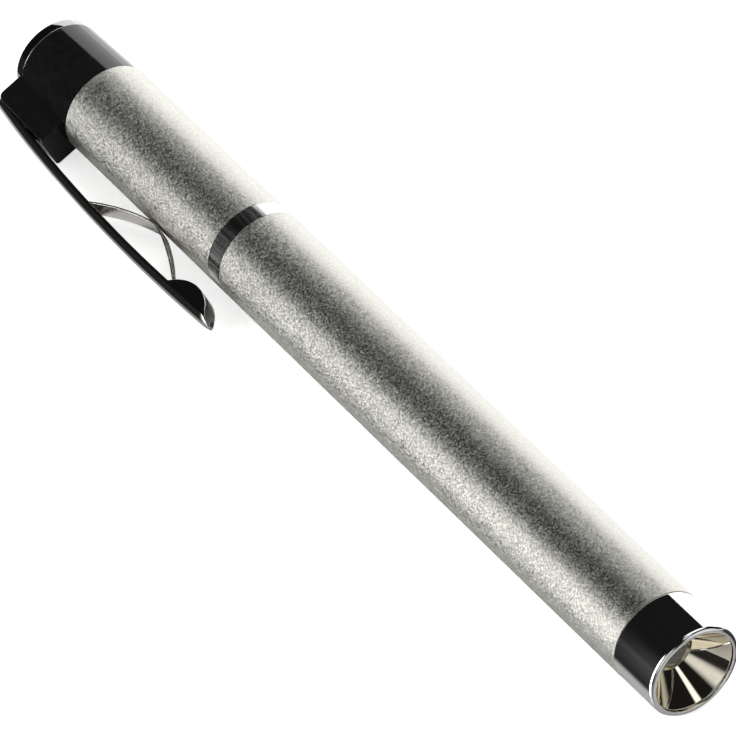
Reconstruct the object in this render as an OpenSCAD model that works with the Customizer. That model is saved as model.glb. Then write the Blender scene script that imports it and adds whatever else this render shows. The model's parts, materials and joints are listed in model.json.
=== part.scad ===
// Penlight: two tubes joined by a contact ring, lamp end with screw cap, tail cap with a press clip.
// Each piece is drawn along a local axis, tail at zero and beam along +Z, with the clip towards +X.
// The placing module then lays the whole penlight on its side, resting on the barrel and the clip.

/* [Barrel] */
// Outer diameter of both tubes
barrel_d = 13; // [12.9:0.1:14]
// Length of the rear tube
rear_l = 33.2; // [30:0.1:37]
// Length of the front tube
front_l = 85.5; // [83:0.1:92]
// Bevel on the tube ends
barrel_bevel = 0.25; // [0.1:0.05:0.3]

/* [Contact ring] */
// Width of the bright ring between the tubes
ring_l = 2.6; // [2:0.1:4]
// Length of each spigot of the joining sleeve
sleeve_l = 6; // [4:0.1:7]
// Wall of the joining sleeve
sleeve_wall = 0.52; // [0.4:0.02:0.6]
// Axial pitch of the sleeve thread
sleeve_pitch = 1; // [0.8:0.1:1.2]
// Depth of the thread grooves
groove_depth = 0.12; // [0.06:0.02:0.2]

/* [Nose] */
// Length of the nose cap
nose_l = 7.2; // [6.8:0.1:8]
// Rounding of the nose cap's lip
nose_round = 0.5; // [0.3:0.05:0.6]
// Thickness of the lip in front of the reflector
lip_t = 0.45; // [0.3:0.05:0.6]
// Radial overlap of the lip over the reflector's rim
lip_hold = 0.15; // [0.1:0.01:0.2]
// Radial wall of the nose cap beside the reflector's rim
nose_wall = 0.6; // [0.45:0.05:0.7]
// Depth of the reflector cone
cone_depth = 4.45; // [4:0.05:5]
// Radius of the hole at the bottom of the cone
cone_hole_r = 2.7; // [2.6:0.05:3]
// Sheet thickness of the reflector
reflector_t = 0.35; // [0.25:0.05:0.45]

/* [Lamp] */
// Overall length of the lamp
lamp_l = 23.9; // [22:0.1:25]
// Height of the glass lens above the reflector hole
lamp_proud = 1.4; // [1:0.1:2]
// Radius of the glass lens
lens_r = 2.45; // [2.2:0.05:2.5]
// Radius of the glass bulb
bulb_r = 3.8; // [3:0.1:4]
// Radius of the lamp's metal shell
shell_r = 4.65; // [4.3:0.05:4.7]
// Length of the lamp's metal shell
shell_l = 8.5; // [7:0.1:9.5]
// Wall of the glass bulb
glass_t = 0.4; // [0.3:0.05:0.5]

/* [Cells] */
// Diameter of a cell
cell_d = 10.5; // [10.2:0.1:10.5]
// Radius of the positive cap
cell_nub_r = 1.9; // [1.5:0.1:2.2]
// Height of the positive cap
cell_nub_h = 0.9; // [0.7:0.1:1.2]
// Room for the coil between the cells and the tail cap
spring_room = 19.46; // [17:0.02:22]

/* [Tail] */
// Length of the black tail cap
cap_l = 11.3; // [11:0.1:13]
// Radius of the tail cap at the tube
cap_front_r = 6.37; // [6.2:0.01:6.45]
// Radius of the tail cap at its end
cap_end_r = 6.05; // [5.95:0.01:6.15]
// Rounding of the tail cap's end
cap_round = 0.28; // [0.15:0.01:0.4]
// Radius of the bright tail disc
disc_r = 5.85; // [5.7:0.01:5.95]
// Exposed thickness of the tail disc
disc_t = 1.45; // [1.3:0.05:1.6]

/* [Clip] */
// Height of the clip's outer face over the barrel, at the top of its arch
clip_h = 5.42; // [5.3:0.02:5.8]
// Thickness of the clip bar
bar_t = 1.2; // [1.05:0.05:1.25]
// Width of the clip bar
bar_w = 3.3; // [3.2:0.05:3.4]
// Radius of the arch of the clip bar
arch_r = 289; // [270:1:310]
// Radius of the crown across the clip's outer face
crown_r = 2.1; // [2:0.05:3]
// Distance that the hump travels before it meets the ring
press_travel = 2.07; // [1.9:0.01:2.2]
// Radius of the contact hump
hump_r = 5.23; // [4.9:0.01:5.5]
// Width of the block that carries the clip
block_w = 6; // [5.6:0.1:6.2]
// Height of the block over the barrel line
block_h = 2.6; // [2.4:0.05:2.65]

/* [Leaf spring] */
// Width of the leaf spring
leaf_w = 3; // [2.4:0.1:3]
// Sheet thickness of the leaf spring
leaf_t = 0.25; // [0.2:0.01:0.3]

/* [Hidden] */
$fn = 96;
arc_fn = 720;

// Fits and allowances
cut = 0.5;
seam = 0.03;
press_gap = 0.01;
run_gap = 0.03;
pin_gap = 0.05;
slot_gap = 0.15;
cell_gap = 0.25;
sleeve_gap = 0.15;
sheet_gap = 0.02;

// Stations along the axis, from the tail
barrel_r = barrel_d / 2;
cap_z = disc_t;
rear_z = cap_z + cap_l;
ring_z = rear_z + rear_l;
front_z = ring_z + ring_l;
nose_z = front_z + front_l;
total_l = nose_z + nose_l;

// Radii of the nested tubes
cell_r = cell_d / 2;
bore_r = cell_r + cell_gap;
sleeve_in_r = cell_r + sleeve_gap;
sleeve_r = sleeve_in_r + sleeve_wall;
counter_r = sleeve_r + run_gap;
press_r = counter_r - press_gap;

// Lamp end
cone_top_z = total_l - lip_t;
cone_z = cone_top_z - cone_depth;
lamp_top_z = cone_z + lamp_proud;
lamp_tip_z = lamp_top_z - lamp_l;
nose_r = barrel_r - seam;
rim_r = nose_r - nose_wall;
rim_t = 0.4;
rim_root = 0.8;
hub_l = 0.6;
mouth_r = rim_r - run_gap - lip_hold;
socket_r = bore_r - press_gap;
spigot_step = 0.09;
spigot_r = bore_r - spigot_step;
nose_bore_r = spigot_r + run_gap;
spigot_l = 3.8;
nose_pitch = 0.75;
socket_bore_r = shell_r + pin_gap;
flange_t = 0.8;
contact_h = 0.7;
contact_r = 1.5;
bead_h = 1.2;
bead_r = 2.4;
shell_z = lamp_tip_z + contact_h + bead_h;
shell_top_z = shell_z + shell_l;
shell_t = 0.35;
shell_turns = 6;
bulb_seat_share = 1 / 3;
bulb_z = shell_top_z - shell_l * bulb_seat_share;
leads_z = bulb_z + glass_t;
flange_hole_r = bead_r + slot_gap;
washer_t = 0.6;
bulb_l = 4.6;
lens_l = 0.6;
dome_z = lamp_top_z - lens_r;
lead_r = 0.22;
lead_offset = 0.9;
lead_l = 6.5;
filament_r = 0.16;

// Tail inside
web_t = 3.5;
web_z = cap_z + web_t;
stem_r = 3;
contact_t = 0.4;
rivet_h = 0.35;
rivet_r = 3.35;
cap_bore_r = 4.5;
cap_spigot_l = 6;
disc_round = 0.12;
seat_z = web_z + contact_t;

// Two cells share the length between the coil's room and the lamp
rear_cell_z = seat_z + spring_room;
cell_l = (lamp_tip_z - rear_cell_z) / 2 - sheet_gap;
front_cell_z = rear_cell_z + cell_l + sheet_gap;
sleeve_film_t = 0.15;
seal_h = 0.35;
seal_r = 3.6;

// Coil behind the cells
spring_wire_r = 0.35;
spring_r = 3.9;
spring_turns = 7;
spring_rings = 8;
spring_sides = 6;
spring_last = spring_turns * spring_rings;
spring_z0 = seat_z + sheet_gap + spring_wire_r;
spring_z1 = rear_cell_z - sheet_gap - spring_wire_r;

// Clip, measured from the axis
clip_over = 1.1;
tip_over = 3.65;
arch_back = 10.6;
hump_set = 0.68;
eye_r = 1.85;
pivot_set = 3.15;
pivot_depth = 2.15;
pin_r = 0.35;
pin_inset = 0.4;
block_over = 0.45;
block_back = 1.1;
block_round = 1;
block_chamfer = 0.4;
tongue_w = 2;
block_z = cap_z - block_over;
block_end_z = rear_z - block_back;
block_x = barrel_r + block_h;
clip_x = barrel_r + clip_h;
arch_z = ring_z - arch_back;
arch_x = clip_x - arch_r;
clip_end_z = cap_z - clip_over;
pivot_z = cap_z + pivot_set;
pivot_arc_r = arch_r - pivot_depth;
pivot_x = arch_x + sqrt(pivot_arc_r * pivot_arc_r - (pivot_z - arch_z) * (pivot_z - arch_z));
tongue_x = pivot_x - eye_r - pin_gap;
hump_z = ring_z + hump_set;
hump_x = barrel_r + press_travel + hump_r;
tip_z = front_z + tip_over;
tip_centre_z = tip_z - bar_w / 2;
crown_drop = crown_r - sqrt(crown_r * crown_r - bar_w * bar_w / 4);
crown_depth = 2 * eye_r + cut;
clip_edge_x = clip_x - crown_drop;

// Leaf spring: a small bend that rides on the rear tube, and two long legs
bend_r = 4.5;
leg_r = 31;
leaf_back = 11.55;
bend_back_a = 13;
bend_front_a = 16;
leaf_root = 0.3;
leaf_tip_gap = 0.24;
slot_end_a = 0.3;
arc_steps = 12;
leaf_z = ring_z - leaf_back;
leaf_x = barrel_r + pin_gap;
leg_off = leg_r - bend_r;
bend_x = leaf_x + bend_r;
front_arc_x = bend_x + leg_off * cos(bend_front_a);
front_arc_z = leaf_z - leg_off * sin(bend_front_a);
back_arc_x = bend_x + leg_off * cos(bend_back_a);
back_arc_z = leaf_z + leg_off * sin(bend_back_a);

// Angle from the line between two centres at which one circle meets the other
function meet_angle(r, other_r, d) = acos((r * r + d * d - other_r * other_r) / (2 * r * d));

// Where the legs end: the back one inside the bar, the front one short of the bar and of the hump
bar_in_r = arch_r - bar_t;
tip_r = leg_r - leaf_t;
back_to_arch = [arch_x - back_arc_x, arch_z - back_arc_z];
front_to_arch = [arch_x - front_arc_x, arch_z - front_arc_z];
front_to_hump = [hump_x - front_arc_x, hump_z - front_arc_z];
leg_back_a = atan(back_to_arch[1] / back_to_arch[0])
  + meet_angle(leg_r, bar_in_r + leaf_root, norm(back_to_arch));
leg_to_bar_a = meet_angle(tip_r, bar_in_r - leaf_tip_gap, norm(front_to_arch))
  - atan(front_to_arch[1] / front_to_arch[0]);
leg_to_hump_a = -meet_angle(tip_r, hump_r + leaf_tip_gap, norm(front_to_hump))
  - atan(front_to_hump[1] / front_to_hump[0]);
leg_front_a = min(leg_to_bar_a, leg_to_hump_a);
bend_arc = [bend_x, leaf_z, bend_r, 180 - bend_front_a, 180 + bend_back_a];
leg_front_arc = [front_arc_x, front_arc_z, leg_r, 180 - leg_front_a, 180 - bend_front_a];
leg_back_arc = [back_arc_x, back_arc_z, leg_r, 180 + bend_back_a, 180 + leg_back_a];
leaf_slot_arc = [back_arc_x, back_arc_z, leg_r, 180 + bend_back_a, 180 + leg_back_a + slot_end_a];

// Angle below the level at which the clip or its block touches what the barrel lies on
function touch_angle(x, y) = asin(barrel_r / sqrt(x * x + y * y)) - atan(y / x);
rest_a = min(
  touch_angle(clip_edge_x, bar_w / 2),
  touch_angle(block_x, block_w / 2 - block_chamfer),
  touch_angle(block_x - block_chamfer, block_w / 2)
);
crown_a = min(rest_a, asin(bar_w / 2 / crown_r));
clip_reach = (clip_x - crown_r) * cos(rest_a) + crown_r * cos(rest_a - crown_a);
side_y = (clip_reach - barrel_r) / 2;

// Lays a piece drawn along the local axis down in the part's own frame
module placed() {
  translate([-total_l / 2, side_y, barrel_r])
    rotate([rest_a - 90, 0, 0])
      rotate([0, 90, 0])
        children();
}

// Cylinder between two stations
module rod(r, z0, z1) {
  translate([0, 0, z0])
    cylinder(r = r, h = z1 - z0);
}

// Tube between two stations
module tube(r_out, r_in, z0, z1) {
  difference() {
    rod(r_out, z0, z1);
    rod(r_in, z0 - cut, z1 + cut);
  }
}

// Tube with a bevel on both outer edges
module bevelled_tube(r_out, r_in, z0, z1, bevel) {
  rotate_extrude()
    polygon([
      [r_in, z0], [r_out - bevel, z0], [r_out, z0 + bevel],
      [r_out, z1 - bevel], [r_out - bevel, z1], [r_in, z1]
    ]);
}

// Row of V grooves turned into a cylinder, standing for its thread
module thread_grooves(r, z0, z1, pitch) {
  count = floor((z1 - z0) / pitch);
  for (i = [0 : count - 1])
    translate([0, 0, z0 + (i + 1 / 2) * pitch])
      rotate_extrude()
        polygon([
          [r - groove_depth, 0], [r + groove_depth, -groove_depth * 2], [r + groove_depth, groove_depth * 2]
        ]);
}

// Cylinder along the clip's width, centred on the clip's plane
module cross_rod(x, z, r, w) {
  translate([x, w / 2, z])
    rotate([90, 0, 0])
      cylinder(r = r, h = w);
}

// Side view drawn in the clip's plane and given a width, centred on that plane
module side_extrude(w) {
  translate([0, w / 2, 0])
    rotate([90, 0, 0])
      linear_extrude(w)
        children();
}

// Point on one of the leaf's arcs, drawn in by an inset; an arc is its centre, radius and two angles
function arc_point(arc, inset, share) =
  let (a = arc[3] + share * (arc[4] - arc[3]), r = arc[2] - inset)
  [arc[0] + r * cos(a), arc[1] + r * sin(a)];

// Edge that follows a row of arcs, each starting where the last one ends
function arcs_edge(arcs, inset) = [
  for (k = [0 : len(arcs) - 1], i = [min(k, 1) : arc_steps])
    arc_point(arcs[k], inset, i / arc_steps)
];

// Side view of a bent strip between two insets of the same arcs
module bent_strip(arcs, inset_out, inset_in) {
  outer = arcs_edge(arcs, inset_out);
  inner = arcs_edge(arcs, inset_in);
  polygon(concat(outer, [for (i = [len(inner) - 1 : -1 : 0]) inner[i]]));
}

module front_barrel() {
  color("silver")
    placed()
      difference() {
        bevelled_tube(barrel_r, bore_r, front_z, nose_z, barrel_bevel);
        rod(counter_r, front_z - cut, front_z + sleeve_l + run_gap);
      }
}

module rear_barrel() {
  color("silver")
    placed()
      difference() {
        bevelled_tube(barrel_r, bore_r, rear_z, ring_z, barrel_bevel);
        rod(counter_r, ring_z - sleeve_l - run_gap, ring_z + cut);
      }
}

// Bright band with a threaded spigot to the rear and a plain one pressed into the front tube
module contact_ring() {
  color("gainsboro")
    placed()
      difference() {
        union() {
          bevelled_tube(barrel_r, sleeve_in_r, ring_z + seam, front_z - seam, barrel_bevel);
          rod(sleeve_r, ring_z - sleeve_l, ring_z + ring_l / 2);
          rod(press_r, ring_z + ring_l / 2, front_z + sleeve_l);
        }
        rod(sleeve_in_r, ring_z - sleeve_l - cut, front_z + sleeve_l + cut);
        thread_grooves(sleeve_r, ring_z - sleeve_l, ring_z, sleeve_pitch);
      }
}

module nose_cap() {
  color("gainsboro")
    placed()
      difference() {
        rotate_extrude() {
          polygon([
            [0, nose_z + seam], [nose_r - barrel_bevel, nose_z + seam],
            [nose_r, nose_z + seam + barrel_bevel], [nose_r, total_l - nose_round],
            [nose_r - nose_round, total_l], [0, total_l]
          ]);
          translate([nose_r - nose_round, total_l - nose_round])
            circle(r = nose_round);
        }
        rod(nose_bore_r, nose_z - cut, nose_z + spigot_l + run_gap);
        rod(rim_r, nose_z + spigot_l, cone_top_z);
        rod(mouth_r, cone_top_z - cut, total_l + cut);
      }
}

// Thin cone with a flat rim under the lip and a short hub round the lamp
module reflector() {
  rim_out_r = rim_r - run_gap;
  rim_top_z = cone_top_z - run_gap;
  color("lightgray")
    placed()
      rotate_extrude()
        polygon([
          [cone_hole_r, cone_z - hub_l], [cone_hole_r, cone_z], [mouth_r, rim_top_z],
          [rim_out_r, rim_top_z], [rim_out_r, rim_top_z - rim_t],
          [mouth_r - reflector_t, rim_top_z - rim_root],
          [cone_hole_r + reflector_t, cone_z - reflector_t / 2], [cone_hole_r + reflector_t, cone_z - hub_l]
        ]);
}

// Outline of the bulb up to its lens, drawn in by an inset for its hollow
function bulb_points(inset) = [
  [0, bulb_z + inset], [bulb_r - inset, bulb_z + inset], [bulb_r - inset, shell_top_z + bulb_l],
  [lens_r - inset, dome_z - lens_l]
];

module lamp_glass() {
  color("lightcyan", 0.5)
    placed()
      difference() {
        union() {
          rotate_extrude()
            polygon(concat(bulb_points(0), [[lens_r, dome_z], [0, dome_z]]));
          translate([0, 0, dome_z])
            sphere(r = lens_r);
        }
        rotate_extrude()
          polygon(concat(bulb_points(glass_t), [[0, dome_z - lens_l]]));
      }
}

module lamp_shell() {
  color("burlywood")
    placed()
      difference() {
        rod(shell_r, shell_z, shell_top_z);
        rod(bulb_r + sheet_gap, bulb_z - sheet_gap, shell_top_z + cut);
        rod(bulb_r - shell_t, shell_z + shell_t, shell_top_z);
        rod(bead_r - shell_t, shell_z - cut, shell_top_z);
        thread_grooves(shell_r, shell_z, shell_top_z, shell_l / shell_turns);
      }
}

module lamp_bead() {
  color("dimgray")
    placed()
      rotate_extrude()
        polygon([
          [0, shell_z - bead_h], [contact_r + slot_gap, shell_z - bead_h], [bead_r, shell_z - sheet_gap],
          [0, shell_z - sheet_gap]
        ]);
}

module lamp_contact() {
  color("lightgray")
    placed()
      intersection() {
        translate([0, 0, lamp_tip_z + contact_r])
          sphere(r = contact_r);
        rod(contact_r, lamp_tip_z, lamp_tip_z + contact_h - sheet_gap);
      }
}

// Two wires that stand on the lamp's glass stem
module lamp_leads() {
  color("silver")
    placed()
      for (side = [-1, 1])
        translate([0, side * lead_offset, 0])
          rod(lead_r, leads_z, leads_z + lead_l);
}

module lamp_filament() {
  color("gray")
    placed()
      cross_rod(0, leads_z + lead_l + filament_r, filament_r, 2 * (lead_offset + lead_r));
}

// Bush in the front tube: holds the lamp, and its spigot takes the nose cap
module lamp_socket() {
  floor_z = shell_z - sheet_gap - flange_t;
  color("burlywood")
    placed()
      difference() {
        union() {
          rod(socket_r, floor_z, nose_z - seam);
          rod(spigot_r, floor_z, nose_z + spigot_l - seam);
        }
        rod(socket_bore_r, shell_z - sheet_gap, total_l);
        rod(flange_hole_r, floor_z - cut, shell_z);
        thread_grooves(spigot_r, nose_z, nose_z + spigot_l - seam, nose_pitch);
      }
}

module insulating_washer() {
  top_z = shell_z - sheet_gap - flange_t - sheet_gap;
  color("firebrick")
    placed()
      tube(bore_r - run_gap, flange_hole_r, top_z - washer_t, top_z);
}

// Steel can of a cell, below the seal
module cell_can(z) {
  rod(cell_r - sleeve_film_t - sheet_gap, z, z + cell_l - cell_nub_h - seal_h);
}

// Film round a cell's can
module cell_sleeve(z) {
  tube(cell_r, cell_r - sleeve_film_t, z + sheet_gap, z + cell_l - cell_nub_h);
}

// Plastic ring round the positive cap
module cell_seal(z) {
  top_z = z + cell_l - cell_nub_h;
  tube(seal_r, cell_nub_r + sheet_gap, top_z - seal_h + sheet_gap, top_z);
}

module cell_cap(z) {
  top_z = z + cell_l;
  rod(cell_nub_r, top_z - cell_nub_h - seal_h + sheet_gap, top_z);
}

module front_cell_can() {
  color("lightsteelblue")
    placed()
      cell_can(front_cell_z);
}

module front_cell_sleeve() {
  color("darkolivegreen")
    placed()
      cell_sleeve(front_cell_z);
}

module front_cell_seal() {
  color("black")
    placed()
      cell_seal(front_cell_z);
}

module front_cell_cap() {
  color("silver")
    placed()
      cell_cap(front_cell_z);
}

module rear_cell_can() {
  color("lightsteelblue")
    placed()
      cell_can(rear_cell_z);
}

module rear_cell_sleeve() {
  color("darkolivegreen")
    placed()
      cell_sleeve(rear_cell_z);
}

module rear_cell_seal() {
  color("black")
    placed()
      cell_seal(rear_cell_z);
}

module rear_cell_cap() {
  color("silver")
    placed()
      cell_cap(rear_cell_z);
}

// Point of the coil at one ring, at a radius from the axis and a height over the wire's middle
function coil_point(i, r, h) =
  let (
    rise_share = i / spring_last,
    turn_a = 360 * i / spring_rings
  )
  [r * cos(turn_a), r * sin(turn_a), h + spring_z0 + rise_share * (spring_z1 - spring_z0)];

// Points of one ring of the coil's wire
function coil_ring(i) = [
  for (k = [0 : spring_sides - 1])
    let (side_a = 360 * k / spring_sides)
    coil_point(i, spring_r + spring_wire_r * cos(side_a), spring_wire_r * sin(side_a))
];

// Least gap between one turn of the coil and the next
spring_gap = min([
  for (i = [0 : spring_last - spring_rings])
    norm(coil_point(i + spring_rings, spring_r, 0) - coil_point(i, spring_r, 0)) - 2 * spring_wire_r
]);
echo(spring_gap = spring_gap);

// Coil as one unbroken tube
module battery_spring() {
  points = [for (i = [0 : spring_last]) each coil_ring(i)];
  walls = [
    for (i = [0 : spring_last - 1], k = [0 : spring_sides - 1])
      let (a = i * spring_sides + k, b = i * spring_sides + (k + 1) % spring_sides)
      each [[a, b, b + spring_sides], [a, b + spring_sides, a + spring_sides]]
  ];
  first_end = [for (k = [1 : spring_sides - 2]) [0, k + 1, k]];
  base = spring_last * spring_sides;
  last_end = [for (k = [1 : spring_sides - 2]) [base, base + k, base + k + 1]];
  color("lightgray")
    placed()
      polyhedron(points = points, faces = concat(walls, first_end, last_end));
}

// Side view of the block, with its tail corner rounded
module block_outline() {
  translate([0, block_z + block_round])
    square([block_x, block_end_z - block_z - block_round]);
  translate([0, block_z])
    square([block_x - block_round, block_end_z - block_z]);
  translate([block_x - block_round, block_z + block_round])
    circle(r = block_round);
}

// End view of the block, with its outer edges bevelled
module block_section() {
  polygon([
    [0, -block_w / 2], [block_x - block_chamfer, -block_w / 2], [block_x, block_chamfer - block_w / 2],
    [block_x, block_w / 2 - block_chamfer], [block_x - block_chamfer, block_w / 2], [0, block_w / 2]
  ]);
}

// Black cap with the block for the clip, a spigot for the rear tube and a web behind the spring
module tail_cap() {
  color([0.05, 0.05, 0.05])
    placed()
      difference() {
        union() {
          rotate_extrude() {
            polygon([
              [0, cap_z], [cap_end_r - cap_round, cap_z], [cap_end_r, cap_z + cap_round],
              [cap_front_r, rear_z - seam], [0, rear_z - seam]
            ]);
            translate([cap_end_r - cap_round, cap_z + cap_round])
              circle(r = cap_round);
          }
          rod(bore_r - press_gap, rear_z - seam, rear_z + cap_spigot_l);
          intersection() {
            side_extrude(block_w)
              block_outline();
            translate([0, 0, block_z])
              linear_extrude(block_end_z - block_z)
                block_section();
          }
        }
        rod(disc_r + pin_gap, block_z - cut, cap_z);
        rod(cap_bore_r, web_z, rear_z + cap_spigot_l + cut);
        rod(stem_r + press_gap, cap_z - cut, web_z + cut);
        eye_slot();
        translate([0, -tongue_w / 2 - run_gap, web_z])
          cube([tongue_x + run_gap, tongue_w + 2 * run_gap, contact_t + sheet_gap]);
        translate([pivot_x, pin_inset - block_w / 2, pivot_z])
          rotate([-90, 0, 0])
            cylinder(r = pin_r + press_gap, h = block_w);
      }
}

// Room for the clip's eye and its tail end, open outwards
module eye_slot() {
  slot_w = bar_w + 2 * slot_gap;
  cross_rod(pivot_x, pivot_z, eye_r + slot_gap, slot_w);
  translate([pivot_x, -slot_w / 2, block_z - cut])
    cube([block_x, slot_w, pivot_z + eye_r + slot_gap - block_z + cut]);
}

// Bright disc with a stem through the web, headed over the contact washer
module tail_disc() {
  color("gainsboro")
    placed() {
      rotate_extrude() {
        polygon([
          [0, 0], [disc_r - disc_round, 0], [disc_r, disc_round], [disc_r, disc_t - sheet_gap],
          [0, disc_t - sheet_gap]
        ]);
        translate([disc_r - disc_round, disc_round])
          circle(r = disc_round);
      }
      rod(stem_r, disc_t / 2, seat_z + sheet_gap + rivet_h);
      rod(rivet_r, seat_z + sheet_gap, seat_z + sheet_gap + rivet_h);
    }
}

// Washer under the coil, with a tongue that reaches the clip's eye
module clip_contact() {
  washer_r = cap_bore_r - run_gap;
  color("goldenrod")
    placed() {
      tube(washer_r, stem_r + press_gap, web_z + sheet_gap, seat_z);
      translate([(stem_r + washer_r) / 2, -tongue_w / 2, web_z + sheet_gap])
        cube([tongue_x - (stem_r + washer_r) / 2, tongue_w, contact_t - sheet_gap]);
    }
}

module clip_pin() {
  pin_l = block_w - 2 * pin_inset;
  color("lightgray")
    placed()
      cross_rod(pivot_x, pivot_z, pin_r, pin_l - sheet_gap);
}

// Side view of the clip: arched bar, eye for the pin and the hump that meets the ring
module clip_outline() {
  intersection() {
    translate([arch_x, arch_z])
      difference() {
        circle(r = arch_r + cut, $fn = arc_fn);
        circle(r = arch_r - bar_t, $fn = arc_fn);
      }
    translate([pivot_x, clip_end_z - cut])
      square([clip_x + cut - pivot_x, tip_z - clip_end_z + 2 * cut]);
  }
  translate([pivot_x, pivot_z])
    circle(r = eye_r);
  intersection() {
    translate([hump_x, hump_z])
      circle(r = hump_r);
    translate([barrel_r, hump_z - hump_r])
      square([clip_x - bar_t / 2 - barrel_r, 2 * hump_r]);
  }
}

// End view of all that lies under the clip's crowned outer face
module crown_section() {
  crown_w = bar_w + 2 * cut;
  intersection() {
    translate([arch_r - crown_depth, -crown_w / 2])
      square([crown_depth, crown_w]);
    union() {
      translate([arch_r - crown_r, 0])
        circle(r = crown_r);
      translate([arch_r - crown_depth, -crown_w / 2])
        square([crown_depth - 2 * crown_drop, crown_w]);
    }
  }
}

// Plan view of the clip, with its square end and round tip
module clip_plan() {
  translate([clip_end_z, -bar_w / 2 - cut])
    square([tip_centre_z - clip_end_z, bar_w + 2 * cut]);
  translate([tip_centre_z, 0])
    circle(r = bar_w / 2);
}

module clip_bar() {
  root_a = asin((clip_end_z - cut - arch_z) / arch_r);
  tip_a = asin((tip_z + cut - arch_z) / arch_r);
  color([0.1, 0.1, 0.1])
    placed()
      difference() {
        intersection() {
          side_extrude(bar_w)
            clip_outline();
          translate([arch_x, 0, arch_z])
            rotate([90, 0, 0])
              rotate([0, 0, root_a])
                rotate_extrude(angle = tip_a - root_a, $fn = arc_fn)
                  crown_section();
          rotate([0, -90, 180])
            linear_extrude(clip_x + cut)
              clip_plan();
        }
        cross_rod(pivot_x, pivot_z, pin_r + pin_gap, bar_w + 2 * cut);
        side_extrude(leaf_w + 2 * sheet_gap)
          bent_strip([leaf_slot_arc], -sheet_gap, leaf_t + sheet_gap);
      }
}

module leaf_spring() {
  color("silver")
    placed()
      side_extrude(leaf_w)
        bent_strip([leg_front_arc, bend_arc, leg_back_arc], 0, leaf_t);
}

front_barrel();
rear_barrel();
contact_ring();
nose_cap();
reflector();
lamp_glass();
lamp_shell();
lamp_bead();
lamp_contact();
lamp_leads();
lamp_filament();
lamp_socket();
insulating_washer();
front_cell_can();
front_cell_sleeve();
front_cell_seal();
front_cell_cap();
rear_cell_can();
rear_cell_sleeve();
rear_cell_seal();
rear_cell_cap();
battery_spring();
tail_cap();
tail_disc();
clip_contact();
clip_pin();
clip_bar();
leaf_spring();
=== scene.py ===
"""Penlight with a press-clip switch: the looks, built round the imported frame."""
import json
import math

import bmesh
import bpy
from mathutils import Matrix, Vector


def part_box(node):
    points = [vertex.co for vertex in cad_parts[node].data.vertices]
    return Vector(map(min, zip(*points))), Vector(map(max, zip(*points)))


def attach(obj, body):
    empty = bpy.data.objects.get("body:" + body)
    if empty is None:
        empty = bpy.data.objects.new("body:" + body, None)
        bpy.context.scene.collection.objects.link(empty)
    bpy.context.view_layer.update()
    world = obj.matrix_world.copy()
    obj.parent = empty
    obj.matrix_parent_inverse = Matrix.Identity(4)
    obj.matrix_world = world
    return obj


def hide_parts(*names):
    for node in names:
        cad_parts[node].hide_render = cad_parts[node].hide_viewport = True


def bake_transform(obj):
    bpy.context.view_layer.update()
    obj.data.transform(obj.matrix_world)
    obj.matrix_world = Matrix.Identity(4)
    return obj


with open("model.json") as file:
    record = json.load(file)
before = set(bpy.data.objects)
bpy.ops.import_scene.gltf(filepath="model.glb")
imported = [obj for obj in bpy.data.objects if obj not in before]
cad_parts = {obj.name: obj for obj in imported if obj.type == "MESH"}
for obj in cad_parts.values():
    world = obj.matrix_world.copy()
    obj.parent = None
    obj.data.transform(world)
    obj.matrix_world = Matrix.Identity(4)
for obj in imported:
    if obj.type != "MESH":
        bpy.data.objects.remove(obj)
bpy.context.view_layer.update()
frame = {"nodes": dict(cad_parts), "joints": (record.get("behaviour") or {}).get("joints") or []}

MM = 0.001
QUARTER = math.pi / 2

# The penlight's own directions: along its axis from the tail, out towards the clip, and to the side
tube_lo, tube_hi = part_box("front_barrel")
axis_y = (tube_lo.y + tube_hi.y) / 2
axis_z = (tube_lo.z + tube_hi.z) / 2
tail_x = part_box("tail_disc")[0].x
press = next(j for j in frame["joints"] if j["name"] == "clip_press")
TAIL = Vector((tail_x, axis_y, axis_z))
AXIS = Vector((1, 0, 0))
CROSS = Vector(press["axis"]).normalized()
OUT = AXIS.cross(CROSS)
SIDE = -CROSS


def at(out, side, z):
    """Point of the row frame, in metres, from millimetres out, to the side and along."""
    return TAIL + (OUT * out + SIDE * side + AXIS * z) * MM


def along(node):
    """First and last station of a node along the axis, in millimetres."""
    lo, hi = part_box(node)
    return (lo.x - tail_x) / MM, (hi.x - tail_x) / MM


def radius(node):
    """Half of the height of a node that is round about the axis, in millimetres."""
    lo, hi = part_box(node)
    return (hi.z - lo.z) / 2 / MM


# Places and sizes that the frame gives, in millimetres
barrel_r = radius("front_barrel")
front_z, nose_z = along("front_barrel")
rear_z, ring_z = along("rear_barrel")
sleeve_z0, sleeve_z1 = along("contact_ring")
cap_nose_z, nose_end = along("nose_cap")
seam = cap_nose_z - nose_z
nose_r = radius("nose_cap")
rim_r = radius("reflector")
reflector_end = along("reflector")[1]
lamp_z0, lamp_end = along("lamp_glass")
bulb_r = radius("lamp_glass")
disc_r = radius("tail_disc")
disc_end = along("tail_disc")[1]
block_z, spigot_end = along("tail_cap")
clip_z0, clip_end = along("clip_bar")
pivot = Vector(press["pos_m"]) - TAIL
pivot_out, pivot_z = pivot.dot(OUT) / MM, pivot.dot(AXIS) / MM

# Turned pieces: faces round the axis, and the angle above which an edge stays sharp
segments = 224
sharp_deg = 32.0

# Tubes and ring, in millimetres
bore_r = 5.5
bore_round = 0.1
counter_r = 5.95
edge_round = 0.04
sleeve_in_r = 5.4
sleeve_r = 5.92
thread_depth = 0.14
thread_pitch = 1.0
thread_steps = 78
ring_sharp_deg = 50.0

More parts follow.
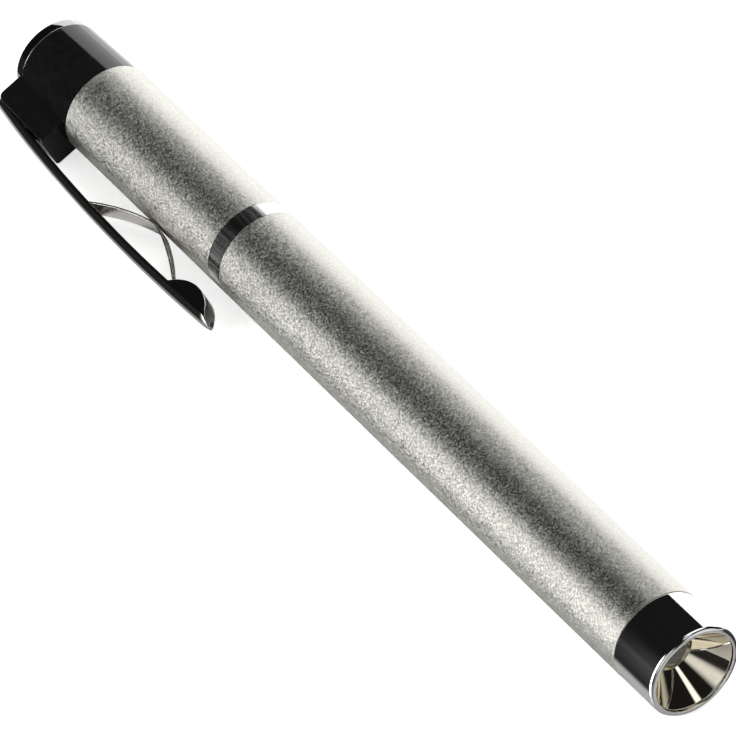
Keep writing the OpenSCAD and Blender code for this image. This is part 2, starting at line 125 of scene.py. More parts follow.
# Nose cap, longer than its solid by nose_more
nose_more = 0.6
nose_back_round = 0.18
nose_bore_r = 5.44
nose_bore_l = 3.83
lip_t = 0.45
lip_round = 0.5
lip_back_round = 0.06
lip_steps = 10
mouth_r = 5.69
mouth_round = 0.16
total_l = nose_end + nose_more

# Reflector
cone_z = 137.35
cone_hole_r = 2.7
cone_hole_round = 0.12
cone_edge_round = 0.1
cone_wall = 0.35
cone_rim_t = 0.4
cone_rim_depth = 0.8
cone_neck_l = 0.6
cone_neck_back = 0.18
cone_top = reflector_end + nose_more

# Lamp, whose lens stands further forward than its solid by lamp_more
lamp_more = 0.8
lens_r = 2.45
lens_l = 0.6
lens_round = 0.2
lens_steps = 24
bulb_l = 7.433
bulb_foot_round = 0.4
bulb_shoulder_round = 0.6
glass_t = 0.4
lamp_top = lamp_end + lamp_more

# Tail disc
disc_t = 1.43
disc_round = 0.12
disc_back_round = 0.06
stem_r = 3.0
rivet_r = 3.35
rivet_t = 0.35

# Tail cap and its block
fit_gap = 0.01
cap_z = 1.45
cap_front_r = 6.37
cap_front_round = 0.12
cap_end_r = 6.05
cap_round = 0.28
cap_bore_r = 4.5
spigot_round = 0.2
spigot_in_round = 0.1
web_z = 4.95
rim_gap = 0.05
block_end = 11.65
block_out = 9.1
block_nose_out = 9.4
block_w = 6.0
block_sink = 2.0
block_corner = 1.0
block_round = 0.2
block_steps = 12
prism_steps = 5
slot_gap = 0.15
slot_round = 0.02
slot_steps = 40
slot_over_out = 2.0
slot_over_tail = 1.0

# Clip: arch, crown, eye, tip and hump
clip_out = 11.92
arch_r = 289.0
arch_z = 35.35
bar_t = 1.2
bar_w = 3.3
bar_round = 0.12
bar_round_w_share = 0.4
bar_round_t_share = 0.25
crown_r = 2.1
eye_r = 1.85
end_round = 0.35
tip_l = 1.6
tip_drop = 0.35
tip_t = 0.1
tip_power = 1.4
tip_short = 0.55
tip_back = 2.1
tip_half_min = 0.01
tip_gap = 0.002
hump_z = 46.63
hump_out = 13.8
hump_r = 5.23
hump_foot = 0.9
eye_gap = 0.03
crown_steps = 20
bar_round_steps = 4
end_steps, neck_steps, eye_steps, bar_steps, hump_steps, tip_steps = 8, 6, 40, 60, 60, 20
strip_sharp_deg = 40.0

# Leaf spring: its bend on the tube, its free leg in front and its held leg behind
leaf_z = 33.95
leaf_out = 6.55
leaf_t = 0.25
leaf_w = 3.0
leaf_tip_w = 0.9
leaf_round = 0.03
leaf_round_steps = 3
bend_r = 4.5
front_r = 28.0
back_r = 31.0
bend_front_a = math.radians(18)
bend_back_a = math.radians(13)
front_end_a = math.radians(32.5)
back_end_a = math.radians(32.6)
front_steps, bend_steps, back_steps = 30, 24, 36


# Meshes

def shade(obj, limit_deg):
    """Smooth faces, with a sharp edge wherever two of them meet at more than an angle."""
    mesh = obj.data
    mesh.polygons.foreach_set("use_smooth", [True] * len(mesh.polygons))
    mesh.set_sharp_from_angle(angle=math.radians(limit_deg))
    mesh.update()


def add_mesh(name, verts, faces, limit_deg):
    """New object from points of the row frame, with its faces turned outwards."""
    weld = 1e-7
    mesh = bpy.data.meshes.new(name)
    mesh.from_pydata([tuple(v) for v in verts], [], faces)
    work = bmesh.new()
    work.from_mesh(mesh)
    bmesh.ops.remove_doubles(work, verts=work.verts, dist=weld)
    bmesh.ops.recalc_face_normals(work, faces=work.faces)
    work.to_mesh(mesh)
    work.free()
    obj = bpy.data.objects.new(name, mesh)
    bpy.context.scene.collection.objects.link(obj)
    shade(obj, limit_deg)
    return obj


def dense(first, last, count):
    """Stations or angles between two others, both included."""
    return [first + (last - first) * k / count for k in range(count + 1)]


def arc(x, y, r, first, last, count):
    """Points on an arc round a centre, between two angles."""
    return [(x + r * math.cos(a), y + r * math.sin(a)) for a in dense(first, last, count)]


def rounded(points, steps=6):
    """Outline from corners (r, z) or (r, z, rounding), with an arc at each rounded corner."""
    straight = math.radians(89)
    out = []
    count = len(points)
    for i, point in enumerate(points):
        here = Vector(point[:2])
        size = point[2] if len(point) > 2 else 0
        before = (Vector(points[i - 1][:2]) - here).normalized()
        after = (Vector(points[(i + 1) % count][:2]) - here).normalized()
        half = math.acos(max(-1.0, min(1.0, before.dot(after)))) / 2
        if size <= 0 or half > straight:
            out.append(here)
            continue
        reach = size / math.tan(half)
        middle = here + (before + after).normalized() * (size / math.sin(half))
        first, last = here + before * reach - middle, here + after * reach - middle
        turn = first.angle_signed(last)
        for k in range(steps + 1):
            out.append(middle + Matrix.Rotation(-turn * k / steps, 2) @ first)
    return out


def lathe(name, outline, closed=True, wobble=None, limit_deg=sharp_deg):
    """Solid of revolution about the axis; wobble gives a change of radius by angle and station."""
    on_axis = 1e-6
    verts, rows = [], []
    for r, z in outline:
        if r < on_axis:
            rows.append([len(verts)])
            verts.append(at(0, 0, z))
            continue
        rows.append(list(range(len(verts), len(verts) + segments)))
        for k in range(segments):
            a = 2 * math.pi * k / segments
            rr = r + (wobble(a, z) if wobble else 0)
            verts.append(at(rr * math.cos(a), rr * math.sin(a), z))
    faces = []
    pairs = list(zip(rows, rows[1:])) + ([(rows[-1], rows[0])] if closed else [])
    for one, two in pairs:
        for k in range(segments):
            n = (k + 1) % segments
            if len(one) == 1 and len(two) == 1:
                break
            if len(one) == 1:
                faces.append((one[0], two[k], two[n]))
            elif len(two) == 1:
                faces.append((one[k], two[0], one[n]))
            else:
                faces.append((one[k], two[k], two[n], one[n]))
    return add_mesh(name, verts, faces, limit_deg)


def helix(first, last, pitch, depth):
    """Change of radius of a V thread between two stations, fading out at its ends."""
    def cut(angle, z):
        if z < first or z > last:
            return 0.0
        phase = (z / pitch - angle / (2 * math.pi)) % 1.0
        fade = min(1.0, (z - first) / (pitch / 2), (last - z) / (pitch / 2))
        return -depth * fade * abs(2 * phase - 1)
    return cut


def loft(name, sections, limit_deg=sharp_deg):
    """Closed skin over sections with the same number of points, with its two ends filled."""
    verts = [p for section in sections for p in section]
    count = len(sections[0])
    faces = []
    for i in range(len(sections) - 1):
        for k in range(count):
            n = (k + 1) % count
            a, b = i * count, (i + 1) * count
            faces.append((a + k, b + k, b + n, a + n))
    last = (len(sections) - 1) * count
    faces.append(tuple(range(count)))
    faces.append(tuple(range(last + count - 1, last - 1, -1)))
    return add_mesh(name, verts, faces, limit_deg)


def prism(name, outline, half_w, edge):
    """Side view (out, along) given a width, with rounded edges along both sides."""
    area = sum(p.x * q.y - q.x * p.y for p, q in zip(outline, outline[1:] + outline[:1]))
    hand = 1 if area > 0 else -1
    turns = dense(0, QUARTER, prism_steps)
    rows = [(edge * (1 - math.cos(a)) - half_w, edge * (1 - math.sin(a))) for a in turns]
    rows += [(-side, shrink) for side, shrink in rows[::-1]]
    count = len(outline)
    sections = []
    for side, shrink in rows:
        section = []
        for k, point in enumerate(outline):
            back = (point - outline[k - 1]).normalized()
            ahead = (outline[(k + 1) % count] - point).normalized()
            bend = (back + ahead).normalized()
            moved = point + Vector((-bend.y, bend.x)) * hand * shrink
            section.append(at(moved.x, side, moved.y))
        sections.append(section)
    return loft(name, sections)


def apply_modifiers(obj):
    """Writes what an object's modifiers show into its mesh."""
    bpy.context.view_layer.update()
    graph = bpy.context.evaluated_depsgraph_get()
    mesh = bpy.data.meshes.new_from_object(obj.evaluated_get(graph))
    obj.modifiers.clear()
    old, obj.data = obj.data, mesh
    bpy.data.meshes.remove(old)


def boolean(target, tool, operation):
    """Cuts or joins a tool into a mesh and drops the tool. Both are worked on in millimetres."""
    for obj in (target, tool):
        obj.data.transform(Matrix.Scale(1 / MM, 4))
    modifier = target.modifiers.new("cut", "BOOLEAN")
    modifier.operation = operation
    modifier.solver = "EXACT"
    modifier.object = tool
    apply_modifiers(target)
    target.data.transform(Matrix.Scale(MM, 4))
    bpy.data.objects.remove(tool)


def weigh_normals(obj):
    """Lets large faces set the normals at their edges, so that flat and straight faces stay so."""
    modifier = obj.modifiers.new("weigh", "WEIGHTED_NORMAL")
    modifier.weight = 100
    modifier.keep_sharp = True
    apply_modifiers(obj)


def finish_piece(obj, body, material, slot_name, *nodes):
    """Gives a piece its finish and the body that it rides, if it rides one, and hides the solids of
    its nodes; the slot name is not used.
    """
    weigh_normals(obj)
    obj.data.materials.clear()
    obj.data.materials.append(material)
    if body:
        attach(obj, body)
    if nodes:
        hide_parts(*nodes)


# Materials

class Graph:
    """Node tree with short names for the nodes in use."""

    def __init__(self, tree, coordinates):
        self.nodes, self.links = tree.nodes, tree.links
        self.place = self.nodes.new("ShaderNodeTexCoord").outputs[coordinates]

    def math(self, operation, *sources):
        """Sum, product or the like of sockets and plain numbers."""
        node = self.nodes.new("ShaderNodeMath")
        node.operation = operation
        for socket, source in zip(node.inputs, sources):
            if isinstance(source, (int, float)):
                socket.default_value = source
            else:
                self.links.new(source, socket)
        return node.outputs["Value"]

    def ranged(self, value, low, high, start=0.3, end=0.7, interpolation="LINEAR"):
        """Value brought from one range, start to end, to another, low to high."""
        node = self.nodes.new("ShaderNodeMapRange")
        node.interpolation_type = interpolation
        sizes = {"From Min": start, "From Max": end, "To Min": low, "To Max": high}
        for key, number in sizes.items():
            node.inputs[key].default_value = number
        self.links.new(value, node.inputs["Value"])
        return node.outputs["Result"]


class Finish(Graph):
    """Node material on a Principled shader."""

    def __init__(self, name):
        self.material = bpy.data.materials.new(name)
        self.material.use_nodes = True
        super().__init__(self.material.node_tree, "Object")
        self.shader = self.nodes["Principled BSDF"]

    def socket(self, key):
        return self.shader.inputs[key.replace("_", " ").title().replace("Ior", "IOR")]

    def set(self, **values):
        """Plain values for the shader's inputs."""
        for key, value in values.items():
            self.socket(key).default_value = value

    def use(self, **sources):
        """Nodes for the shader's inputs; gives back the finished material."""
        for key, source in sources.items():
            self.links.new(source, self.socket(key))
        return self.material

    def stretched(self, scale):
        node = self.nodes.new("ShaderNodeMapping")
        node.inputs["Scale"].default_value = scale
        self.links.new(self.place, node.inputs["Vector"])
        return node.outputs["Vector"]

    def noise(self, scale, detail=2.0, rough=0.5, place=None):
        node = self.nodes.new("ShaderNodeTexNoise")
        node.inputs["Scale"].default_value = scale
        node.inputs["Detail"].default_value = detail
        node.inputs["Roughness"].default_value = rough
        self.links.new(place or self.place, node.inputs["Vector"])
        return node.outputs["Fac"]

    def cells(self, scale):
        node = self.nodes.new("ShaderNodeTexVoronoi")
        node.inputs["Scale"].default_value = scale
        self.links.new(self.place, node.inputs["Vector"])
        return node.outputs["Color"]

    def toned(self, value, dark, light, start=0.3, end=0.7):
        node = self.nodes.new("ShaderNodeValToRGB")
        for element, position, color in zip(node.color_ramp.elements, (start, end), (dark, light)):
            element.position = position
            element.color = (*color, 1)
        self.links.new(value, node.inputs["Fac"])
        return node.outputs["Color"]

    def bump(self, height, strength, depth_mm):
        node = self.nodes.new("ShaderNodeBump")
        node.inputs["Strength"].default_value = strength
        node.inputs["Distance"].default_value = depth_mm * MM
        self.links.new(height, node.inputs["Height"])
        return node.outputs["Normal"]


def blasted_aluminium():
    """Bead-blasted and anodised: fine facets that differ in tone and gloss."""
    f = Finish("blasted_aluminium")
    f.set(metallic=1.0)
    facets = f.cells(6400)
    start, end = 0.25, 0.9
    return f.use(
        base_color=f.toned(facets, (0.475, 0.469, 0.432), (0.77, 0.76, 0.702), start, end),
        roughness=f.ranged(facets, 0.29, 0.5, start, end),
        normal=f.bump(f.noise(3600, detail=1.0, rough=0.6), strength=1.0, depth_mm=0.012),
    )


def plated(name, dark, light, low, high):
    """Bright metal: faint polishing lines along the piece and a trace of waviness."""
    f = Finish(name)
    f.set(metallic=1.0)
    lines = f.noise(1500, detail=3.0, rough=0.6, place=f.stretched((0.04, 1, 1)))
    return f.use(
        base_color=f.toned(lines, dark, light),
        roughness=f.ranged(lines, low, high),
        normal=f.bump(f.noise(220, detail=1.0), strength=0.06, depth_mm=0.02),
    )


def moulded(name, dark, light, low, high, scale=900, strength=0.05):
    """Moulded plastic with a trace of flow in its gloss."""
    f = Finish(name)
    f.set(ior=1.5)
    flow = f.noise(scale, detail=3.0, rough=0.6)
    return f.use(
        base_color=f.toned(flow, dark, light),
        roughness=f.ranged(flow, low, high),
        normal=f.bump(flow, strength, depth_mm=0.01),
    )


def clear_glass():
    """Pressed glass with a slight ripple."""
    f = Finish("lamp_glass")
    f.set(transmission_weight=0.88, ior=1.5)
    ripple = f.noise(700)
    return f.use(
        base_color=f.toned(ripple, (0.82, 0.82, 0.7), (0.9, 0.9, 0.8)),
        roughness=f.ranged(ripple, 0.02, 0.06),
        normal=f.bump(ripple, strength=0.08, depth_mm=0.02),
    )


# Each finish runs from its darker tone to its lighter one, and over a range of roughness
ALUMINIUM = blasted_aluminium()
CHROME = plated("chrome_plate", (0.74, 0.74, 0.73), (0.82, 0.82, 0.81), 0.03, 0.06)
MIRROR = plated("reflector_mirror", (0.84, 0.79, 0.66), (0.92, 0.87, 0.74), 0.03, 0.05)
RING_PLATE = plated("ring_plate", (0.58, 0.58, 0.57), (0.86, 0.86, 0.85), 0.09, 0.26)
# The disc's plate is the chrome plate made darker, to dim what the disc reflects: painted shade.
DISC_SHADED_PLATE = plated("disc_shaded_plate", (0.38, 0.38, 0.365), (0.44, 0.44, 0.425), 0.04, 0.08)
# The clip's plate is the chrome plate made darker, standing in for the shadowed floor that it
# reflects: painted shade.
CLIP_SHADED_PLATE = plated("clip_shaded_plate", (0.46, 0.455, 0.44), (0.54, 0.535, 0.52), 0.05, 0.1)
SPRING = plated("spring_steel", (0.72, 0.7, 0.66), (0.84, 0.82, 0.77), 0.18, 0.3)
BRASS = plated("brass", (0.62, 0.45, 0.2), (0.76, 0.58, 0.3), 0.2, 0.34)
CELL_METAL = plated("cell_metal", (0.58, 0.59, 0.6), (0.7, 0.71, 0.72), 0.22, 0.34)
BLACK = moulded("black_plastic", (0.006, 0.006, 0.006), (0.011, 0.011, 0.011), 0.06, 0.1)
INSULATION = moulded(
    "insulation", (0.09, 0.07, 0.06), (0.14, 0.12, 0.1), 0.5, 0.65, scale=1600, strength=0.2,
)
CELL_FILM = moulded("cell_film", (0.12, 0.16, 0.1), (0.18, 0.23, 0.15), 0.18, 0.28)
GLASS = clear_glass()


# Tubes, ring and lamp end

front_tube = lathe("front_tube", rounded([
    (counter_r, front_z), (barrel_r, front_z, edge_round), (barrel_r, nose_z, edge_round),
    (bore_r, nose_z, bore_round), (bore_r, sleeve_z1), (counter_r, sleeve_z1),
]))
finish_piece(front_tube, "front", ALUMINIUM, "blasted_aluminium", "front_barrel")

rear_tube = lathe("rear_tube", rounded([
    (bore_r, rear_z), (barrel_r, rear_z, edge_round), (barrel_r, ring_z),
    (counter_r, ring_z, bore_round), (counter_r, sleeve_z0), (bore_r, sleeve_z0),
]))
finish_piece(rear_tube, "rear", ALUMINIUM, "blasted_aluminium", "rear_barrel")

ring_outline = [(sleeve_in_r, sleeve_z0)]
ring_outline += [(sleeve_r, z) for z in dense(sleeve_z0, ring_z, thread_steps)]
ring_outline += [
    (sleeve_r, ring_z + seam), (barrel_r, ring_z + seam), (barrel_r, front_z - seam),
    (sleeve_r, front_z - seam), (sleeve_r, sleeve_z1), (sleeve_in_r, sleeve_z1),
]
thread = helix(sleeve_z0, ring_z, thread_pitch, thread_depth)
bright_ring = lathe("bright_ring", ring_outline, wobble=thread, limit_deg=ring_sharp_deg)
finish_piece(bright_ring, "front", RING_PLATE, "chrome_plate", "contact_ring")

nose_sleeve = lathe("nose_sleeve", rounded([
    (nose_bore_r, nose_z + seam, bore_round), (nose_r, nose_z + seam, nose_back_round),
    (nose_r, total_l, lip_round), (mouth_r, total_l, mouth_round),
    (mouth_r, total_l - lip_t, lip_back_round), (rim_r + seam, total_l - lip_t),
    (rim_r + seam, nose_z + nose_bore_l), (nose_bore_r, nose_z + nose_bore_l),
], lip_steps))
finish_piece(nose_sleeve, "nose", CHROME, "chrome_plate", "nose_cap")

cone_neck_r = cone_hole_r + cone_wall
bright_cone = lathe("bright_cone", rounded([
    (cone_hole_r, cone_z - cone_neck_l), (cone_hole_r, cone_z, cone_hole_round),
    (mouth_r, cone_top, cone_edge_round), (rim_r, cone_top), (rim_r, cone_top - cone_rim_t),
    (mouth_r - cone_wall, cone_top - cone_rim_depth), (cone_neck_r, cone_z - cone_neck_back),
    (cone_neck_r, cone_z - cone_neck_l),
]))
finish_piece(bright_cone, "reflector", MIRROR, "reflector_mirror", "reflector")

dome_z = lamp_top - lens_r
neck_z = dome_z - lens_l
shoulder_z = lamp_z0 + bulb_l
lamp_outline = [(0, lamp_z0)] + rounded([
    (bulb_r, lamp_z0, bulb_foot_round), (bulb_r, shoulder_z, bulb_shoulder_round),
    (lens_r, neck_z, lens_round), (0, neck_z),
])[:-1]
lamp_outline += arc(0, dome_z, lens_r, 0, QUARTER, lens_steps)[:-1] + [(0, lamp_top)]
lamp_lens = lathe("lamp_lens", lamp_outline, closed=False)
hollow_r, hollow_z = bulb_r - glass_t, lamp_z0 + glass_t
lamp_hollow = lathe("lamp_hollow", [
    (0, hollow_z), (hollow_r, hollow_z), (hollow_r, shoulder_z),
    (lens_r - glass_t, neck_z), (0, neck_z),
], closed=False)
boolean(lamp_lens, lamp_hollow, "DIFFERENCE")
shade(lamp_lens, sharp_deg)
finish_piece(lamp_lens, "front", GLASS, "lamp_glass", "lamp_glass")


# Tail

rivet_z = disc_end - rivet_t
tail_plate = lathe("tail_plate", [(0, 0)] + rounded([
    (disc_r, 0, disc_round), (disc_r, disc_t, disc_back_round), (stem_r, disc_t), (stem_r, rivet_z),
    (rivet_r, rivet_z), (rivet_r, disc_end), (0, disc_end), (0, disc_t / 2),
])[:-1], closed=False)
# Darkened chrome on the disc: painted shade.
finish_piece(tail_plate, "rear", DISC_SHADED_PLATE, "chrome_plate", "tail_disc")

cap_hole_r, spigot_r = stem_r + fit_gap, bore_r - fit_gap
cap_front_z = rear_z - seam
cap = lathe("tail_shell", rounded([
    (cap_hole_r, cap_z), (cap_end_r, cap_z, cap_round), (cap_front_r, cap_front_z, cap_front_round),
    (spigot_r, cap_front_z), (spigot_r, spigot_end, spigot_round),
    (cap_bore_r, spigot_end, spigot_in_round), (cap_bore_r, web_z), (cap_hole_r, web_z),
]))
block_root = cap_front_r - block_sink
block = prism("block", rounded([
    (block_root, block_end), (block_root, block_z), (block_out, block_z, block_corner),
    (block_nose_out, block_end, block_round),
], block_steps), block_w / 2, block_round)
boolean(cap, block, "UNION")
room_r, room_end = disc_r + rim_gap, cap_z - fit_gap
rim_room = lathe("rim_room", [(0, 0), (room_r, 0), (room_r, room_end), (0, room_end)], closed=False)
boolean(cap, rim_room, "DIFFERENCE")
slot_r = eye_r + slot_gap
slot_out, slot_end = block_out + slot_over_out, block_z - slot_over_tail
slot_side = arc(pivot_out, pivot_z, slot_r, QUARTER, 3 * QUARTER, slot_steps)
slot_side += [(pivot_out, slot_end), (slot_out, slot_end), (slot_out, pivot_z + slot_r)]
slot = prism("slot", [Vector(p) for p in slot_side], bar_w / 2 + slot_gap, slot_round)
boolean(cap, slot, "DIFFERENCE")
shade(cap, sharp_deg)
finish_piece(cap, "rear", BLACK, "black_plastic", "tail_cap")


# Clip

def arch(z, inset=0.0):
    """Height over the axis of the clip's arch, drawn in by an inset."""
    r = arch_r - inset
    return clip_out - arch_r + math.sqrt(r * r - (z - arch_z) ** 2)


def hump(z):
    """Height over the axis of the hump that lands on the ring."""
    return hump_out - math.sqrt(hump_r ** 2 - (z - hump_z) ** 2)


clip_z1 = clip_end - tip_short
tip_round_z = clip_z1 - bar_w / 2
tip_rise_z = clip_z1 - tip_back
tip_low = arch(clip_z1) - tip_drop - tip_t


def clip_size(z):
    """Heights of the clip's outer and inner face, and half of its width, at a station."""
    half = bar_w / 2
    if z > tip_round_z:
        half = math.sqrt(max(tip_half_min ** 2, half * half - (z - tip_round_z) ** 2))
    top, low = arch(z), arch(z, bar_t)
    if abs(z - pivot_z) < eye_r:
        low = min(low, pivot_out - math.sqrt(eye_r ** 2 - (z - pivot_z) ** 2))
    if abs(z - hump_z) < hump_r:
        low = min(low, hump(z))
    short = max(0.0, clip_z0 + end_round - z)
    shrink = end_round - math.sqrt(end_round ** 2 - short ** 2)
    top, low, half = top - shrink, low + shrink / 2, half - shrink / 2
    over = max(0.0, z - clip_z1 + tip_l) / tip_l
    top -= tip_drop * (1 - math.sqrt(1 - over ** 2))
    if z > tip_rise_z:
        low = tip_low + ((clip_z1 - z) / tip_back) ** tip_power * (hump(tip_rise_z) - tip_low)
    return top, low, half


def clip_section(z):
    """Cross-section of the clip: crowned outer face, flat inner face and rounded edges."""
    top, low, half = clip_size(z)
    edge = min(bar_round, half * bar_round_w_share, (top - low) * bar_round_t_share)
    inner_r, flat = crown_r - edge, half - edge
    lean = math.asin(flat / inner_r)
    middle = top - crown_r
    rim = middle + inner_r * math.cos(lean)
    points = arc(middle, 0, crown_r, -lean, lean, crown_steps)
    points += arc(rim, flat, edge, lean, QUARTER, bar_round_steps)[1:]
    points += arc(low + edge, flat, edge, QUARTER, math.pi, bar_round_steps)
    points += arc(low + edge, -flat, edge, math.pi, 3 * QUARTER, bar_round_steps)
    points += arc(rim, -flat, edge, -QUARTER, -lean, bar_round_steps)[:-1]
    return [at(out, side, z) for out, side in points]


hump_foot_z = hump_z - hump_r + hump_foot
stations = [clip_z0 + end_round * (1 - math.cos(a)) for a in dense(0, QUARTER, end_steps)]
stations += dense(clip_z0 + end_round, pivot_z - eye_r - eye_gap, neck_steps)[1:]
stations += [pivot_z - eye_r * math.cos(a) for a in dense(0, math.pi, eye_steps)[1:-1]]
stations += dense(pivot_z + eye_r, hump_foot_z, bar_steps)
stations += dense(hump_foot_z, tip_round_z, hump_steps)[1:]
stations += [tip_round_z + bar_w / 2 * math.sin(a) for a in dense(0, QUARTER, tip_steps)[1:-1]]
stations.append(clip_z1 - tip_gap)
clip = loft("clip", [clip_section(z) for z in stations], strip_sharp_deg)
# Darkened chrome on the clip: painted shade.
finish_piece(clip, "clip", CLIP_SHADED_PLATE, "chrome_plate", "clip_bar")


# Leaf spring

def leaf_path():
    """Points on the leaf's middle line, from the free tip to the held end, each with its normal."""
    bend = Vector((leaf_out + bend_r, leaf_z))
    front = bend + (front_r - bend_r) * Vector((math.cos(bend_front_a), -math.sin(bend_front_a)))
    back = bend + (back_r - bend_r) * Vector((math.cos(bend_back_a), math.sin(bend_back_a)))
    arcs = (
        (front, front_r, -front_end_a, -bend_front_a, front_steps),
        (bend, bend_r, -bend_front_a, bend_back_a, bend_steps),
        (back, back_r, bend_back_a, back_end_a, back_steps),
    )
    path = []
    for centre, r, first, last, steps in arcs:
        for a in dense(math.pi + first, math.pi + last, steps)[1 if path else 0:]:
            normal = Vector((math.cos(a), math.sin(a)))
            path.append((centre + (r - leaf_t / 2) * normal, normal))
    return path


def leaf_sections():
    """Cross-sections along the leaf, whose free leg narrows to its tip."""
    half_t = leaf_t / 2
    sections = []
    for p, n in leaf_path():
        free = min(1.0, max(0.0, (p.y - leaf_z) / (hump_z - hump_r - leaf_z)))
        half_w = (leaf_w + (leaf_tip_w - leaf_w) * free) / 2
        rim = rounded([
            (half_t, half_w, leaf_round), (half_t, -half_w, leaf_round),
            (-half_t, -half_w, leaf_round), (-half_t, half_w, leaf_round),
        ], leaf_round_steps)
        sections.append([at(p.x + n.x * q.x, q.y, p.y + n.y * q.x) for q in rim])
    return sections


leaf = loft("leaf", leaf_sections(), strip_sharp_deg)
finish_piece(leaf, None, SPRING, "spring_steel", "leaf_spring")
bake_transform(leaf)


# Inner pieces keep their solids and get a finish

INNER = {
    BRASS: ("lamp_shell", "lamp_socket", "clip_contact"),
    INSULATION: ("lamp_bead", "insulating_washer", "front_cell_seal", "rear_cell_seal"),
    SPRING: ("lamp_contact", "lamp_leads", "lamp_filament", "battery_spring", "clip_pin",
             "front_cell_cap", "rear_cell_cap"),
    CELL_METAL: ("front_cell_can", "rear_cell_can"),
    CELL_FILM: ("front_cell_sleeve", "rear_cell_sleeve"),
}
for material, names in INNER.items():
    for name in names:
        for slot in frame["nodes"][name].material_slots:
            slot.material = material


# Lamps, in metres

def light(name, place, aim, size, radiance):
    """Rectangular soft light that doesn't show to the camera."""
    lamp = bpy.data.lights.new(name, "AREA")
    lamp.shape = "RECTANGLE"
    lamp.size, lamp.size_y = size
    lamp.energy = radiance * math.pi * size[0] * size[1]
    obj = bpy.data.objects.new(name, lamp)
    obj.location = place
    obj.rotation_euler = (Vector(aim) - Vector(place)).to_track_quat("-Z", "Y").to_euler()
    obj.visible_camera = False
    bpy.context.scene.collection.objects.link(obj)
    return obj


card_way = Vector((-0.8274, 0.5617, 0))
card_off, card_w, card_h, card_level = 0.325, 0.9, 0.206, 1.6
card_place = card_way * card_off + Vector((0, 0, card_h / 2))
light("back_card", card_place, card_place - card_way, (card_w, card_h), card_level)
top_h, top_w, top_level = 0.9, 0.7, 1.0
top_card = light("top_card", (0, 0, top_h), (0, 0, 0), (top_w, top_w), top_level)
top_card.visible_glossy = False


# World. A source is the product of soft steps. Each step has its direction, the cosines of the angle
# to it between which the step runs, and its levels there. The sources and the ambient level add up.

STUDIO = {
    "floor_around": (
        ((0, 0, -1), (-0.01, 0.03), (0.0, 1.0)),
        ((0, 1, 0), (0.0, 0.75), (0.48, 1.55)),
        ((-0.825, -0.565, 0), (0.66, 0.78), (1.0, 0.04)),
        ((0.12, 0.82, -0.56), (0.8, 0.88), (1.0, 0.03)),
        ((0.38, -0.88, -0.28), (0.92, 0.97), (1.0, 0.03)),
        ((1, 0, 0), (0.3, 0.55), (1.0, 0.4)),
    ),
    "floor_near": (((0.09, -0.64, -0.77), (0.9, 0.96), (0.0, 0.4)),),
    "card_near": (
        ((0, -1, -0.1), (0.62, 0.96), (0.0, 6.0)),
        ((1, 0, 0), (-0.6, -0.4), (0.0, 1.0)),
        ((1, 0, 0), (0.0, 0.2), (1.0, 0.0)),
    ),
    "card_above": (
        ((-0.28, 0.45, 0.85), (0.88, 0.97), (0.0, 1.8)),
        ((1, 0, 0), (-0.56, -0.42), (0.0, 1.0)),
    ),
    "window": (((0.43, 0.15, 0.89), (0.978, 0.988), (0.0, 1.2)),),
    "fill_near": (((0.8, -0.55, 0.24), (0.88, 0.96), (0.0, 0.8)),),
    "fill_far": (((0.8, 0.55, 0.24), (0.88, 0.96), (0.0, 0.8)),),
}
ambient = 0.01
background = 1.0

world = bpy.data.worlds.new("studio")
bpy.context.scene.world = world
world.use_nodes = True
sky = Graph(world.node_tree, "Generated")


def toward(way, span, levels):
    """Soft step by the cosine of the angle to a direction."""
    dot = sky.nodes.new("ShaderNodeVectorMath")
    dot.operation = "DOT_PRODUCT"
    dot.inputs[1].default_value = way
    sky.links.new(sky.place, dot.inputs[0])
    return sky.ranged(dot.outputs["Value"], *levels, *span, "SMOOTHSTEP")


studio = ambient
for steps in STUDIO.values():
    level = 1.0
    for step in steps:
        level = sky.math("MULTIPLY", level, toward(*step))
    studio = sky.math("ADD", studio, level)
rays = sky.nodes.new("ShaderNodeLightPath").outputs
seen = sky.math("MAXIMUM", rays["Is Camera Ray"], rays["Is Transmission Ray"])
mix = sky.nodes.new("ShaderNodeMix")
mix.data_type = "FLOAT"
mix.inputs["B"].default_value = background
sky.links.new(seen, mix.inputs["Factor"])
sky.links.new(studio, mix.inputs["A"])
shown_sky = sky.nodes["Background"].inputs
shown_sky["Color"].default_value = (1, 1, 1, 1)
sky.links.new(mix.outputs["Result"], shown_sky["Strength"])


# Floor

floor_half = 3.0
floor_drop = 0.03
floor_glow = 0.7
shade_past_block = 1.0
shade_short_of_clip = 1.0

corners = [(-1, -1), (1, -1), (1, 1), (-1, 1)]
floor_mesh = bpy.data.meshes.new("floor")
floor_points = [(x * floor_half, y * floor_half, 0) for x, y in corners]
floor_mesh.from_pydata(floor_points, [], [(0, 1, 2, 3)])
floor = bpy.data.objects.new("floor", floor_mesh)
floor.location.z = -floor_drop * MM
bpy.context.scene.collection.objects.link(floor)


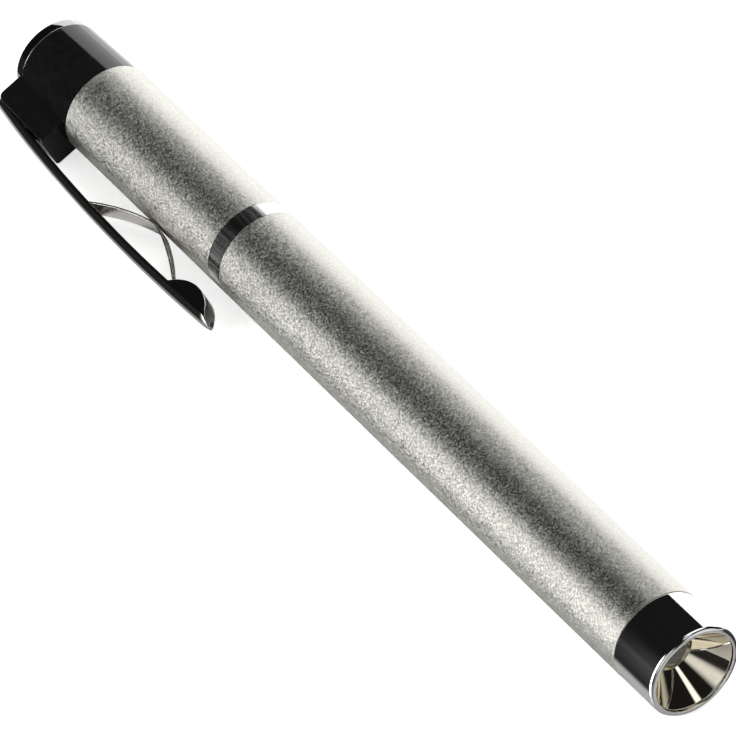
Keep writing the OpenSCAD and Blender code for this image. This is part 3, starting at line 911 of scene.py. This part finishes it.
def paper():
    """White paper. Reflections show only what lies under the barrel and the block, in shadow."""
    f = Finish("floor_paper")
    f.set(roughness=0.9, emission_color=(1, 1, 1, 1))
    rays = f.nodes.new("ShaderNodeLightPath").outputs
    seen = f.math("MAXIMUM", rays["Is Camera Ray"], rays["Is Transmission Ray"])
    split = f.nodes.new("ShaderNodeSeparateXYZ")
    f.links.new(f.place, split.inputs["Vector"])
    x, y = split.outputs["X"], split.outputs["Y"]
    under_barrel = f.math("COMPARE", y, axis_y, barrel_r * MM)
    block_long = f.math("COMPARE", x, at(0, 0, block_z).x, (block_end + shade_past_block) * MM)
    block_wide = f.math("COMPARE", y, axis_y, (clip_out - shade_short_of_clip) * MM)
    under = f.math("MAXIMUM", under_barrel, f.math("MULTIPLY", block_long, block_wide))
    hidden = f.math("MULTIPLY", f.math("SUBTRACT", 1.0, under), rays["Is Glossy Ray"])
    mix = f.nodes.new("ShaderNodeMixShader")
    f.links.new(hidden, mix.inputs["Fac"])
    f.links.new(f.shader.outputs["BSDF"], mix.inputs[1])
    f.links.new(f.nodes.new("ShaderNodeBsdfTransparent").outputs["BSDF"], mix.inputs[2])
    f.links.new(mix.outputs["Shader"], f.nodes["Material Output"].inputs["Surface"])
    return f.use(
        base_color=f.toned(f.noise(30), (0.8, 0.8, 0.8), (0.84, 0.84, 0.84)),
        emission_strength=f.math("MULTIPLY", seen, floor_glow),
    )


floor_mesh.materials.append(paper())


# Camera at the photograph's angle

image_px = 736
focal_px = 8530.51
sensor_mm = 36
right = Vector((0.5617, 0.8274, 0)).normalized()
ahead = Vector((-0.6269, 0.4256, -0.6526)).normalized()
up = right.cross(ahead).normalized()
turn = Matrix((right, up, -ahead)).transposed()
ring_to_camera = Vector((692.15, -451.981, 691.5))
camera_data = bpy.data.cameras.new("camera")
camera_data.sensor_width = sensor_mm
camera_data.lens = focal_px * sensor_mm / image_px
camera_data.clip_start, camera_data.clip_end = 0.05, 20
camera = bpy.data.objects.new("camera", camera_data)
camera_place = at(0, 0, ring_z) + ring_to_camera * MM
camera.matrix_world = Matrix.Translation(camera_place) @ turn.to_4x4()
bpy.context.scene.collection.objects.link(camera)
bpy.context.scene.camera = camera
bpy.context.scene.view_settings.view_transform = "Standard"
